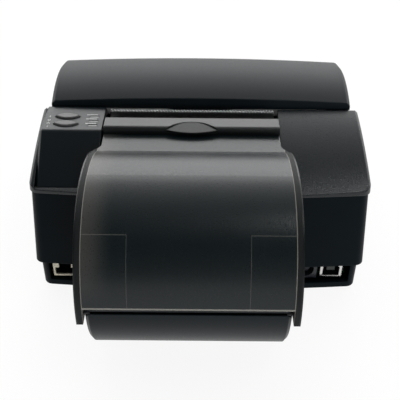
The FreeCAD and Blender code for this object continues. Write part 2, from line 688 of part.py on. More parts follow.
def gear(teeth, y, z, tooth_at, bore):
    """Spur gear with straight-sided teeth, one of them centred on the angle tooth_at (radians)."""
    pitch_r = teeth * MODULE / 2
    root_r, tip_r = pitch_r - 1.2 * MODULE, pitch_r + 0.9 * MODULE
    step = 2 * math.pi / teeth
    points = []
    for i in range(teeth):
        middle = tooth_at + i * step
        for radius, share in ((root_r, -0.31), (tip_r, -0.11), (tip_r, 0.11), (root_r, 0.31)):
            turn = middle + share * step
            across = y + REAR_Y + radius * math.cos(turn)
            points.append(Vec(gear_low(), across, z + radius * math.sin(turn)))
    wheel = Part.Face(Part.makePolygon(points + points[:1])).extrude(Vec(GEAR_THICK, 0, 0))
    return plate_hole(wheel, gear_low(), gear_low() + GEAR_THICK, y, z, bore)


def gear_train():
    """Centres and tooth angles of the platen gear, the idler and the motor pinion."""
    first = math.radians(IDLER_ANGLE)
    reach = MODULE * (PLATEN_TEETH + IDLER_TEETH) / 2 + BACKLASH
    idler = (PLATEN_Y + reach * math.cos(first), PLATEN_Z + reach * math.sin(first))
    idler_at = first + math.pi + math.pi / IDLER_TEETH
    second = math.radians(PINION_ANGLE)
    reach = MODULE * (IDLER_TEETH + PINION_TEETH) / 2 + BACKLASH
    pinion = (idler[0] + reach * math.cos(second), idler[1] + reach * math.sin(second))
    step = 2 * math.pi / IDLER_TEETH
    offset = (idler_at - second) % step
    pinion_at = second + math.pi - offset * IDLER_TEETH / PINION_TEETH + math.pi / PINION_TEETH
    return first, idler, idler_at, pinion, pinion_at


def platen_gear():
    """Gear pressed on the end of the platen shaft."""
    return gear(PLATEN_TEETH, PLATEN_Y, PLATEN_Z, gear_train()[0], SHAFT_R)


def idler_gear():
    """Idler between the platen and the motor, on a stud of the side frame."""
    _, idler, idler_at, _, _ = gear_train()
    return gear(IDLER_TEETH, *idler, idler_at, STUD_R + RUN_GAP)


def motor_pinion():
    """Pinion on the feed motor's shaft."""
    _, _, _, pinion, pinion_at = gear_train()
    wheel = gear(PINION_TEETH, *pinion, pinion_at, STUD_R)
    shaft = rod_x(gear_low(), frame_x() + PLATE + BRACKET_GAP, *pinion, STUD_R)
    return wheel.fuse(shaft).removeSplitter()


def frame_x():
    """Inner face of the steel side frame that carries the motor."""
    return gear_low() + GEAR_THICK + BRACKET_GAP


def feed_motor():
    """Stepper motor can on the outer face of the side frame."""
    _, _, _, pinion, _ = gear_train()
    low = frame_x() + PLATE
    can = rod_x(low, low + MOTOR_LENGTH, *pinion, MOTOR_R)
    seat = rod_x(low - WALL, low + WALL, *pinion, STUD_R + RUN_GAP)
    return can.cut(seat)


def head_face():
    """Rear face of the print head."""
    return PLATEN_Y - PLATEN_R - HEAD_GAP


def bracket_y():
    """Rear face of the head bracket."""
    return head_face() - HEAD_THICK - LEAF_GAP


def side_frame():
    """Pressed steel frame: a side plate with the idler stud, and a foot on the base floor."""
    _, idler, _, pinion, _ = gear_train()
    low = frame_x()
    floor = FOOT_HEIGHT + WALL
    front = bracket_y() - PLATE
    plate = box(low, low + PLATE, front, PLATEN_Y + PLATEN_R, floor, RIDGE_Z)
    plate = plate.fuse(box(low, low + MOTOR_LENGTH, front, PLATEN_Y + PLATEN_R, floor, floor + PLATE))
    plate = plate_hole(plate, low, low + PLATE, *pinion, STUD_R + SEAM * 2)
    stud = rod_x(gear_low(), low, *idler, STUD_R)
    return plate.fuse(stud).removeSplitter()


def head_bracket():
    """Upright steel plate behind the head, with a foot plate, carrying the tear bar."""
    half = plate_offsets()
    floor = FOOT_HEIGHT + WALL
    y = bracket_y()
    top = TEAR_TOP - 2 * TOOTH_HEIGHT
    upright_plate = box(CHANNEL_X - half, CHANNEL_X + half, y - PLATE, y, floor, top)
    link = box(CHANNEL_X, frame_x(), y - PLATE, y, floor, STEP_Z)
    foot = box(CHANNEL_X - half, frame_x(), y - PLATE - 4 * WALL, y, floor, floor + PLATE)
    return upright_plate.fuse(foot).fuse(link).removeSplitter()


def print_head():
    """Thermal head: ceramic strip on an aluminium back with a raised print line."""
    half = PAPER_WIDTH / 2
    y = head_face()
    body = box(CHANNEL_X - half, CHANNEL_X + half, y - HEAD_THICK, y - EDGE_R, HEAD_LOW, HEAD_HIGH)
    glaze = box(CHANNEL_X - half + EDGE_R, CHANNEL_X + half - EDGE_R, y - EDGE_R, y,
                PLATEN_Z - 2 * EDGE_R, PLATEN_Z + 2 * EDGE_R)
    return body.fuse(glaze).removeSplitter()


def head_leaf_spring():
    """Bowed leaf that presses the head towards the roller."""
    half = PAPER_WIDTH / 2 - WALL * 2
    back, front = bracket_y(), head_face() - HEAD_THICK
    low, high = HEAD_LOW + WALL, HEAD_HIGH - WALL
    middle = (low + high) / 2
    leaf = outline((back, low), (back + LEAF_THICK, low), ((front, middle), (back + LEAF_THICK, high)),
                   (back, high), ((front - LEAF_THICK, middle), (back, low)))
    return prism_x(leaf, CHANNEL_X - half, CHANNEL_X + half)


def tear_bar():
    """Steel strip with a saw-tooth upper edge, screwed to the head bracket."""
    half = PAPER_WIDTH / 2 + TEAR_OVER
    count = int(2 * half / TOOTH_PITCH)
    left = CHANNEL_X - count * TOOTH_PITCH / 2
    y = bracket_y() + REAR_Y
    low = HEAD_HIGH + WALL / 2
    points = [Vec(left, y, low), Vec(left, y, TEAR_TOP - TOOTH_HEIGHT)]
    for i in range(count):
        points.append(Vec(left + (i + 0.5) * TOOTH_PITCH, y, TEAR_TOP))
        points.append(Vec(left + (i + 1) * TOOTH_PITCH, y, TEAR_TOP - TOOTH_HEIGHT))
    points.append(Vec(left + count * TOOTH_PITCH, y, low))
    return Part.Face(Part.makePolygon(points + points[:1])).extrude(Vec(0, TEAR_THICK, 0))


# Boards and rear sockets


def socket_face():
    """Y of the socket faces, just inside the windows."""
    return -BASE_INSET - SOCKET_INSET - WALL


def main_board():
    """Controller board on the base floor, clear of the bucket on the socket side."""
    low_z = FOOT_HEIGHT + WALL
    side = BASE_HALF - 2 * WALL
    board = box(-side, side, MAIN_BOARD_FRONT - BODY_DEPTH / 4, -BASE_INSET - 4 * WALL,
                low_z, low_z + BOARD_THICK)
    foot = box(frame_x() - WALL, frame_x() + MOTOR_LENGTH + WALL, bracket_y() - 6 * WALL,
               PLATEN_Y + PLATEN_R + WALL, low_z, low_z + BOARD_THICK)
    return board.cut(bucket_clearance()).cut(foot).cut(
        box(CHANNEL_X - CHANNEL_HALF, frame_x() + WALL, bracket_y() - 6 * WALL, 0, low_z, STEP_Z))


def socket_block(x, size):
    """Outer block of a rear socket, standing on the board's level."""
    width, height, depth = size
    face = socket_face()
    low, high = SOCKET_Z - height / 2, SOCKET_Z + height / 2
    return box(x - width / 2, x + width / 2, face - depth, face, low, high)


def usb_socket():
    """Square steel shell with cut upper corners and a tongue inside."""
    width, height, depth = USB_SIZE
    face = socket_face()
    shell = socket_block(USB_X, USB_SIZE)
    half, wall = width / 2 - 1.5, 1.5
    top, cut = SOCKET_Z + height / 2 - wall, 2.0
    low = SOCKET_Z - height / 2 + wall
    points = [(-half, low), (half, low), (half, top - cut), (half - cut, top), (-half + cut, top),
              (-half, top - cut)]
    wire = Part.makePolygon([Vec(USB_X + x, face + REAR_Y, z) for x, z in points + points[:1]])
    shell = shell.cut(Part.Face(wire).extrude(Vec(0, -depth + wall, 0)))
    tongue = box(USB_X - half / 2, USB_X + half / 2, face - depth + wall, face - wall,
                 SOCKET_Z - wall, SOCKET_Z + wall)
    return shell.fuse(tongue).removeSplitter()


def drawer_socket():
    """Moulded jack with a stepped latch opening."""
    width, height, depth = DRAWER_SIZE
    face = socket_face()
    block = socket_block(DRAWER_X, DRAWER_SIZE)
    low = SOCKET_Z - height / 2 + WALL / 2
    mouth = box(DRAWER_X - width / 2 + WALL / 2, DRAWER_X + width / 2 - WALL / 2, face - depth + WALL, face,
                low, SOCKET_Z)
    latch = box(DRAWER_X - width / 4, DRAWER_X + width / 4, face - depth + WALL, face,
                low, SOCKET_Z + height / 3)
    return block.cut(mouth).cut(latch)


def power_socket():
    """Round three-pole supply socket in a square block."""
    width, height, depth = POWER_SIZE
    face = socket_face()
    block = socket_block(POWER_X, POWER_SIZE)
    bore = rod_y(POWER_X, SOCKET_Z, face - depth + WALL, face, height / 2 - WALL / 2)
    post = rod_y(POWER_X, SOCKET_Z, face - depth + WALL, face - WALL, height / 4)
    return block.cut(bore).fuse(post).removeSplitter()


def rubber_feet():
    """Four round feet under the corners of the plinth."""
    x = BASE_HALF - FOOT_INSET
    front, rear = -BODY_DEPTH + FOOT_INSET, -FOOT_INSET * 1.5
    return Part.makeCompound([rod_z(side * x, y, 0, FOOT_HEIGHT, FOOT_RADIUS)
                              for side in (-1, 1) for y in (front, rear)])


def case_screws():
    """Four hexagon-head screws in the plinth underside, beside the feet."""
    x = BASE_HALF - 2.5 * FOOT_INSET
    rows = (-BODY_DEPTH + FOOT_INSET, -FOOT_INSET * 3)
    corners = [math.radians(60 * i) for i in range(7)]
    heads = []
    for side in (-1, 1):
        for y in rows:
            ring = [Vec(side * x + SCREW_R * math.cos(a), y + REAR_Y + SCREW_R * math.sin(a),
                        FOOT_HEIGHT - SCREW_HEAD) for a in corners]
            heads.append(Part.Face(Part.makePolygon(ring)).extrude(Vec(0, 0, SCREW_HEAD)))
    return Part.makeCompound(heads)


# Hood over the slip station


def hood_outline(inset):
    """Side view of the hood: rear lip, crest arc, straight front slope and front lip."""
    crest = (HOOD_CREST_Y, HOOD_CREST_Z - HOOD_R)
    radius = HOOD_R - inset
    rear = math.degrees(math.acos((HOOD_REAR - inset - HOOD_CREST_Y) / radius))
    turn = 90 + HOOD_SLOPE
    slope_end = on_circle(crest, radius, turn)
    run = math.tan(math.radians(HOOD_SLOPE))
    lip_y = HOOD_LIP_Y + inset
    front = (lip_y, slope_end[1] - (slope_end[0] - lip_y) * run)
    start = on_circle(crest, radius, rear)
    return outline(start, arc_to(crest, radius, rear, turn), front, (lip_y, SHELF_Z - inset),
                   (HOOD_REAR - inset, SHELF_Z - inset))


def hood():
    """Crowned hood with side walls, open at the rear under its lip and along the slip throat."""
    axis_z = HOOD_CREST_Z - HOOD_CROWN
    half_turn = math.degrees(math.asin(STEP_HALF / HOOD_CROWN))
    crowned = []
    for inset in (0.0, HOOD_WALL):
        face = Part.Face(hood_outline(inset))
        face.rotate(Vec(0, 0, axis_z), Vec(0, 1, 0), -half_turn)
        crowned.append(face.revolve(Vec(0, 0, axis_z), Vec(0, 1, 0), 2 * half_turn))
    outer = crowned[0].common(box(-HOOD_HALF, HOOD_HALF, -BODY_DEPTH, HOOD_REAR, SHELF_Z, ROOF_LIMIT))
    long_edges = [e for e in outer.Edges if abs(e.CenterOfMass.x) > HOOD_HALF - SEAM
                  and e.CenterOfMass.z > SHELF_Z + SHELF_GAP
                  and e.CenterOfMass.y < HOOD_REAR + REAR_Y - SEAM and not upright(e)]
    outer = outer.makeChamfer(EDGE_R * 1.5, long_edges)
    inside = crowned[1].common(box(-HOOD_HALF + HOOD_WALL, HOOD_HALF - HOOD_WALL, -BODY_DEPTH, HOOD_REAR,
                                   SHELF_Z, ROOF_LIMIT))
    shell = outer.cut(inside)
    rear_wall = HOOD_REAR - HOOD_WALL - SEAM
    throat = HOOD_PIN_Y + 2 * EAR_HALF
    for low_y, high_y, top in ((rear_wall, HOOD_REAR, HOOD_REAR_LOW),
                               (-BODY_DEPTH, HOOD_REAR, SHELF_Z + SHELF_GAP),
                               (-BODY_DEPTH, throat, HOOD_LIP_Z)):
        shell = shell.cut(box(-HOOD_HALF, HOOD_HALF, low_y, high_y, SHELF_Z, top))
    return plate_hole(shell, -HOOD_HALF, HOOD_HALF, HOOD_PIN_Y, HOOD_PIN_Z, HINGE_R + RUN_GAP)


def hood_pins():
    """Two pins from the table ears into the hood sides."""
    out = HOOD_HALF + SHELF_GAP + EAR_THICK
    inner = HOOD_HALF - HOOD_WALL
    return Part.makeCompound([rod_x(-out, -inner, HOOD_PIN_Y, HOOD_PIN_Z, HINGE_R),
                              rod_x(inner, out, HOOD_PIN_Y, HOOD_PIN_Z, HINGE_R)])


def slip_table():
    """Slip table inside the case front, with the hood's hinge ears and rod plates standing on it."""
    half = half_at(SHELF_Z) - WALL - SEAM
    table = box(-half, half, -BODY_DEPTH + CORNER_R, HOOD_REAR - 2 * WALL, SHELF_Z - TABLE_THICK, SHELF_Z)
    for side in (-1, 1):
        low, high = sorted((side * (HOOD_HALF + SHELF_GAP), side * (HOOD_HALF + SHELF_GAP + EAR_THICK)))
        ear = box(low, high, HOOD_PIN_Y - EAR_HALF, HOOD_PIN_Y + EAR_HALF, SHELF_Z, HOOD_PIN_Z)
        ear = ear.fuse(rod_x(low, high, HOOD_PIN_Y, HOOD_PIN_Z, EAR_HALF))
        table = table.fuse(plate_hole(ear, low, high, HOOD_PIN_Y, HOOD_PIN_Z, HINGE_R))
        low, high = sorted((side * (ROD_HALF - END_PLATE), side * ROD_HALF))
        margin = ROD_R + CARRIAGE_MARGIN / 2
        plate = box(low, high, ROD_Y[1] - margin, ROD_Y[0] + margin, SHELF_Z, ROD_Z + margin)
        for y in ROD_Y:
            plate = plate_hole(plate, low, high, y, ROD_Z, ROD_R)
        table = table.fuse(plate)
    return table.removeSplitter()


def guide_rods():
    """Two ground rods that carry the slip carriage."""
    return Part.makeCompound([rod_x(-ROD_HALF, ROD_HALF, y, ROD_Z, ROD_R) for y in ROD_Y])


def print_carriage():
    """Carriage block with rod bores, a round print nose and a clamp on the belt."""
    front, rear = ROD_Y[1] - ROD_R - CARRIAGE_MARGIN, ROD_Y[0] + ROD_R + CARRIAGE_MARGIN / 2
    block = box(-CARRIAGE_HALF, CARRIAGE_HALF, front, rear, CARRIAGE_LOW, CARRIAGE_HIGH)
    block = block.makeChamfer(EDGE_R, [e for e in block.Edges if upright(e)])
    nose = rod_z(0, (ROD_Y[0] + ROD_Y[1]) / 2, NOSE_LOW, CARRIAGE_LOW + WALL, NOSE_R)
    block = block.fuse(nose)
    for y in ROD_Y:
        block = plate_hole(block, -CARRIAGE_HALF, CARRIAGE_HALF, y, ROD_Z, ROD_R + RUN_GAP)
    run = BELT_Y - PULLEY_R - BELT_THICK / 2
    clamp = box(-CARRIAGE_HALF / 2, CARRIAGE_HALF / 2, rear - WALL, run + BELT_THICK + WALL,
                PULLEY_LOW - WALL, CARRIAGE_HIGH)
    slot = box(-CARRIAGE_HALF, CARRIAGE_HALF, run - BELT_THICK, run + BELT_THICK, PULLEY_LOW, PULLEY_HIGH)
    return block.fuse(clamp).cut(slot).removeSplitter()


def ribbon_cassette():
    """Ribbon cassette clipped on top of the carriage."""
    front, rear = ROD_Y[1] - ROD_R - CARRIAGE_MARGIN, ROD_Y[0] - CASSETTE_MARGIN
    body = box(-CARRIAGE_HALF, CARRIAGE_HALF, front, rear, CARRIAGE_HIGH, CASSETTE_HIGH)
    body = body.makeChamfer(EDGE_R * 3, [e for e in body.Edges if upright(e)])
    top = [e for e in body.Edges if e.CenterOfMass.z > CASSETTE_HIGH - SEAM]
    return body.makeChamfer(EDGE_R, top)


def drive_belt():
    """Flat belt loop round both pulleys."""
    low, high = PULLEY_LOW + BELT_MARGIN, PULLEY_HIGH - BELT_MARGIN

    def loop(radius):
        straight = box(-PULLEY_X, PULLEY_X, BELT_Y - radius, BELT_Y + radius, low, high)
        for x in (-PULLEY_X, PULLEY_X):
            straight = straight.fuse(rod_z(x, BELT_Y, low, high, radius))
        return straight.removeSplitter()

    return loop(PULLEY_R + BELT_THICK).cut(loop(PULLEY_R + SEAM))


def pulley(x):
    """Belt pulley on an upright stud, with a flange under the belt."""
    wheel = rod_z(x, BELT_Y, PULLEY_LOW, PULLEY_HIGH, PULLEY_R)
    flange = rod_z(x, BELT_Y, PULLEY_LOW, PULLEY_LOW + BELT_MARGIN / 2, PULLEY_R + BELT_THICK)
    bore = rod_z(x, BELT_Y, PULLEY_LOW - WALL, PULLEY_HIGH + WALL, STUD_R + RUN_GAP)
    return wheel.fuse(flange).cut(bore).removeSplitter()


def pulley_studs():
    """Motor shaft and idler stud that the pulleys turn on."""
    return Part.makeCompound([rod_z(x, BELT_Y, PULLEY_LOW - WALL, PULLEY_HIGH + WALL / 2, STUD_R)
                              for x in (-PULLEY_X, PULLEY_X)])


def carriage_motor():
    """Motor can under the drive pulley and the matching post under the idle pulley."""
    top = PULLEY_LOW - WALL
    return Part.makeCompound([rod_z(PULLEY_X, BELT_Y, SHELF_Z, top, CARRIAGE_MOTOR_R),
                              rod_z(-PULLEY_X, BELT_Y, SHELF_Z, top, STUD_R * 2)])


NODES = {
    "base_tray": base_tray, "lower_case": lower_case, "upper_case": upper_case,
    "control_panel": control_panel, "led_windows": led_windows, "panel_board": panel_board,
    "power_button": lambda: button(BUTTON_Y[0]), "feed_button": lambda: button(BUTTON_Y[1]),
    "paper_bucket": paper_bucket, "cover_hinge_pins": hinge_pins, "roll_cover": roll_cover,
    "cover_grip_bar": grip_bar, "platen_bracket": platen_bracket, "platen_bushes": platen_bushes,
    "platen_shaft": platen_shaft, "platen_roller": platen_roller, "platen_gear": platen_gear,
    "idler_gear": idler_gear, "motor_pinion": motor_pinion, "feed_motor": feed_motor,
    "side_frame": side_frame, "head_bracket": head_bracket, "print_head": print_head,
    "head_leaf_spring": head_leaf_spring, "tear_bar": tear_bar, "main_board": main_board,
    "usb_socket": usb_socket, "drawer_socket": drawer_socket, "power_socket": power_socket,
    "rubber_feet": rubber_feet, "case_screws": case_screws, "hood": hood, "hood_pins": hood_pins,
    "slip_table": slip_table, "guide_rods": guide_rods, "print_carriage": print_carriage,
    "ribbon_cassette": ribbon_cassette, "drive_belt": drive_belt,
    "drive_pulley": lambda: pulley(PULLEY_X), "idle_pulley": lambda: pulley(-PULLEY_X),
    "pulley_studs": pulley_studs, "carriage_motor": carriage_motor,
}


def main():
    """Writes every piece to its own file."""
    os.makedirs("parts", exist_ok=True)
    for name, make in NODES.items():
        shape = make()
        if not shape.isValid():
            print("not valid:", name)
        print(name, len(shape.Solids), round(shape.Volume, 1))
        shape.exportStep(os.path.join("parts", name + ".step"))


main()
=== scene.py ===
"""Looks of the counter printer: materials, printed marks, finger lip, light, floor and camera."""
import json
import math

import bmesh
import bpy
from mathutils import Euler, Matrix, Vector


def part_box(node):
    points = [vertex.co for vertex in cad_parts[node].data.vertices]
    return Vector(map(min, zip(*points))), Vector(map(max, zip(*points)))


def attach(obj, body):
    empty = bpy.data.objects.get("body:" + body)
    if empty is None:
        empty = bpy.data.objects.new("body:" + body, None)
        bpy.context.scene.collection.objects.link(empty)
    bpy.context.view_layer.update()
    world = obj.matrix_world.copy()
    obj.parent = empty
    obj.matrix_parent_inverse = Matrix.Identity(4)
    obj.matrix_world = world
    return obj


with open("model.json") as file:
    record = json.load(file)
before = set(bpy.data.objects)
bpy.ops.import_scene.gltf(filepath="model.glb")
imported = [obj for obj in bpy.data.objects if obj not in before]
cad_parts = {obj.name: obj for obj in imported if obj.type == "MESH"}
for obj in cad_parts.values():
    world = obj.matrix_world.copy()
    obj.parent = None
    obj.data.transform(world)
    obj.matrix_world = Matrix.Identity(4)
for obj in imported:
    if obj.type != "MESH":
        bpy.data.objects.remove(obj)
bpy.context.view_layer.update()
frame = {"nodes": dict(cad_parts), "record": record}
nodes = frame["nodes"]

MM = 0.001

# Camera, as the object is seen from above and behind
CAMERA_BACK = 0.3142         # behind the middle of the object
CAMERA_UP = 0.2802
CAMERA_PITCH = 38.0
CAMERA_ROLL = 0.5
CAMERA_LENS = 63.0
CAMERA_SENSOR = 36.0
CAMERA_NEAR, CAMERA_FAR = 0.01, 20.0

# Colours, linear
BLACK = (0.0018, 0.0043, 0.006)
# grey on the button caps is painted sheen, which lightens their shaded near edges
CAP_PAINTED_SHEEN = (0.05, 0.051, 0.05)
GRIP_BLACK = (0.005, 0.006, 0.0065)
SMOKE = (0.0028, 0.0058, 0.007)
CHEEK = (0.003, 0.004, 0.0045)
# pale score lines, and the painted highlight along the cheeks' inner edges
LINE_AND_HIGHLIGHT = (0.30, 0.29, 0.26)
# painted highlight along the cover's lower rim and lugs
RIM_HIGHLIGHT = (0.15, 0.146, 0.132)
# painted sheen on the roll cover's skin
PAINTED_SHEEN = (0.032, 0.032, 0.030)
MARK_WHITE = (0.42, 0.43, 0.42)
# painted shade inside the sockets, behind their front face
SOCKET_PAINTED_SHADE = (0.004, 0.005, 0.005)

# Surfaces: scales are per metre, shades are factors on a colour
NOISE_LOW, NOISE_HIGH = 0.3, 0.7     # where nearly all of a noise's values lie
SMOOTH = 2.0                 # detail of a fine, even noise
EDGE_RADIUS = 0.9 * MM
EDGE_SAMPLES = 4
GRAIN_DEPTH = 0.2 * MM
DRAWN_DEPTH = 0.1 * MM       # of the lines in drawn metal
DRIFT_SCALE = 35.0           # slow change of colour in plastic
DRIFT_SHADES = (0.88, 1.15)
SATIN = (0.26, 0.38)         # roughness of plain moulded plastic
DRAWN_SCALE = 90.0
DRAWN_DETAIL = 5.0
DRAWN_SHADE = 0.8
DRAWN_RELIEF = 0.06
DUST_SCALE = 160.0
DUST_DETAIL = 6.0
DUST_SHADE = 1.9
RUBBER_ROUGH = (0.65, 0.85)
RUBBER_GRAIN = 900.0
RUBBER_RELIEF = 0.25
TRACK_SCALE = 90.0           # rows of a board's tracks
TRACK_WIDTH = 0.03
TRACK_SHADE = 1.8
BOARD_SHADE = 0.8
LACQUER_SCALE = 300.0
LACQUER_ROUGH = (0.3, 0.45)
STREAK_SCALE = 700.0         # streaks in the lamps' lenses
STREAK_DETAIL = 3.0
STREAK_SHADE = 0.8
LENS_ROUGH = (0.15, 0.3)
SOCKET_RIM = 0.8 * MM        # depth of a socket's front face, left out of the painted shade

# Room light from the far horizon over the top to the near horizon, as shares of its level
SKY_LEVEL = 7.0
SKY = ((0.0, 0.34), (0.08, 0.42), (0.14, 0.5), (0.17, 0.85), (0.20, 0.9), (0.225, 0.32), (0.28, 0.2),
       (0.345, 0.15), (0.42, 0.08), (0.5, 0.035), (0.56, 0.022), (0.71, 0.012), (0.88, 0.025), (1.0, 0.065))
BACKDROP_SINE = 0.1          # white backdrop up to this height above the horizon, in reflections
FLOOR_GLOW = 0.9             # share of plain white in the floor as it is seen

# Marks, painted highlights and a painted sheen on the roll cover
CHEEK_WIDTH = 3.1 * MM
CHEEK_EDGE = 0.7 * MM        # polished outer edge of a cheek
LUG_LENGTH = 9.0 * MM        # lugs below the rim
RIM_HEIGHT = 0.9 * MM
SCORE_DROP = 10.4 * MM       # level score line below the cover's top
SCORE_X = 26.7 * MM
SCORE_HALF = 0.12 * MM
# half width of the painted highlight along a cheek's inner edge
BORDER_HALF = 0.2 * MM
SHEEN_WIDTH = 14.0 * MM       # painted sheen: paler skin beside the cheek on the panel's side
SHEEN_LOW = 40.0 * MM         # fading out at this depth below the cover's top
SHEEN_HIGH = 16.0 * MM        # and full above this one
CLOUD_SCALE = 28.0
CLOUD_DETAIL = 5.0
CLOUD_SHADES = (0.85, 1.2)
COVER_GRAIN = 1900.0
COVER_RELIEF = 0.1
SCORE_SHARE = 0.12           # strength of the lines' colour
BORDER_HIGHLIGHT_SHARE = 0.35
CHEEK_DULL = 0.4             # roughness that a cheek has more than the skin
COVER_LEVEL = 0.34


# Materials

MIX_BELOW, MIX_ABOVE, MIX_RESULT = 6, 7, 2     # the mix node's sockets for colours


def new_material(name):
    """New node material, its tree and its shader."""
    material = bpy.data.materials.new(name)
    material.use_nodes = True
    tree = material.node_tree
    return material, tree, tree.nodes["Principled BSDF"]


def noise(tree, scale, detail=4.0, stretch=None):
    """Noise on object coordinates, optionally stretched along one axis."""
    texture = tree.nodes.new("ShaderNodeTexNoise")
    texture.inputs["Scale"].default_value = scale
    texture.inputs["Detail"].default_value = detail
    place = tree.nodes.new("ShaderNodeTexCoord")
    mapping = tree.nodes.new("ShaderNodeMapping")
    if stretch:
        mapping.inputs["Scale"].default_value = stretch
    tree.links.new(place.outputs["Object"], mapping.inputs["Vector"])
    tree.links.new(mapping.outputs["Vector"], texture.inputs["Vector"])
    return texture.outputs["Fac"]


def ramp(tree, value, low, high):
    """Colour between two colours, by a noise value."""
    node = tree.nodes.new("ShaderNodeValToRGB")
    node.color_ramp.elements[0].position = NOISE_LOW
    node.color_ramp.elements[1].position = NOISE_HIGH
    node.color_ramp.elements[0].color = (*low, 1.0)
    node.color_ramp.elements[1].color = (*high, 1.0)
    tree.links.new(value, node.inputs["Fac"])
    return node.outputs["Color"]


def spread(tree, value, low, high):
    """Number between two numbers, by a noise value."""
    node = tree.nodes.new("ShaderNodeMapRange")
    node.inputs["From Min"].default_value = NOISE_LOW
    node.inputs["From Max"].default_value = NOISE_HIGH
    node.inputs["To Min"].default_value = low
    node.inputs["To Max"].default_value = high
    tree.links.new(value, node.inputs["Value"])
    return node.outputs["Result"]


def bump(tree, shader, value, strength, distance):
    """Surface relief from a value, over softly rounded edges."""
    node = tree.nodes.new("ShaderNodeBump")
    node.inputs["Strength"].default_value = strength
    node.inputs["Distance"].default_value = distance
    edge = tree.nodes.new("ShaderNodeBevel")
    edge.samples = EDGE_SAMPLES
    edge.inputs["Radius"].default_value = EDGE_RADIUS
    tree.links.new(edge.outputs["Normal"], node.inputs["Normal"])
    tree.links.new(value, node.inputs["Height"])
    tree.links.new(node.outputs["Normal"], shader.inputs["Normal"])


def shade(colour, factor):
    """Colour made lighter or darker."""
    return tuple(min(1.0, c * factor) for c in colour)


def plastic(name, colour, rough=SATIN, grain=2200.0, relief=0.14, level=0.4):
    """Moulded plastic with a fine spark-eroded grain and slow colour drift."""
    material, tree, shader = new_material(name)
    dark, pale = [shade(colour, factor) for factor in DRIFT_SHADES]
    fine = noise(tree, grain, SMOOTH)
    tree.links.new(ramp(tree, noise(tree, DRIFT_SCALE), dark, pale), shader.inputs["Base Color"])
    tree.links.new(spread(tree, fine, *rough), shader.inputs["Roughness"])
    shader.inputs["Specular IOR Level"].default_value = level
    bump(tree, shader, fine, relief, GRAIN_DEPTH)
    return material


def metal(name, colour, rough=(0.22, 0.34), stretch=(1.0, 40.0, 40.0)):
    """Metal with fine lines drawn along one axis."""
    material, tree, shader = new_material(name)
    lines = noise(tree, DRAWN_SCALE, DRAWN_DETAIL, stretch)
    tree.links.new(ramp(tree, lines, shade(colour, DRAWN_SHADE), colour), shader.inputs["Base Color"])
    tree.links.new(spread(tree, lines, *rough), shader.inputs["Roughness"])
    shader.inputs["Metallic"].default_value = 1.0
    bump(tree, shader, lines, DRAWN_RELIEF, DRAWN_DEPTH)
    return material


def rubber(name, colour):
    """Dull rubber with a dusty bloom."""
    material, tree, shader = new_material(name)
    dust = noise(tree, DUST_SCALE, DUST_DETAIL)
    tree.links.new(ramp(tree, dust, colour, shade(colour, DUST_SHADE)), shader.inputs["Base Color"])
    tree.links.new(spread(tree, dust, *RUBBER_ROUGH), shader.inputs["Roughness"])
    bump(tree, shader, noise(tree, RUBBER_GRAIN, SMOOTH), RUBBER_RELIEF, GRAIN_DEPTH)
    return material


def calc(tree, operation, first, second):
    """Result of a math node on two values, each a socket or a number."""
    node = tree.nodes.new("ShaderNodeMath")
    node.operation = operation
    for socket, value in zip(node.inputs, (first, second)):
        if isinstance(value, (int, float)):
            socket.default_value = value
        else:
            tree.links.new(value, socket)
    return node.outputs["Value"]


def near(tree, value, middle, half):
    """1 where a value lies within half of the middle, else 0."""
    apart = calc(tree, "ABSOLUTE", calc(tree, "SUBTRACT", value, middle), 0)
    return calc(tree, "LESS_THAN", apart, half)


def soft_step(tree, value, low, high):
    """0 below a low value, 1 above a high one, with a soft change between."""
    node = tree.nodes.new("ShaderNodeMapRange")
    node.interpolation_type = "SMOOTHSTEP"
    node.inputs["From Min"].default_value = low
    node.inputs["From Max"].default_value = high
    tree.links.new(value, node.inputs["Value"])
    return node.outputs["Result"]


def tint(tree, mask, below, above):
    """Colour that changes from one input to another by a mask."""
    node = tree.nodes.new("ShaderNodeMix")
    node.data_type = "RGBA"
    tree.links.new(mask, node.inputs["Factor"])
    for socket, value in ((node.inputs[MIX_BELOW], below), (node.inputs[MIX_ABOVE], above)):
        if isinstance(value, tuple):
            socket.default_value = (*value, 1.0)
        else:
            tree.links.new(value, socket)
    return node.outputs[MIX_RESULT]


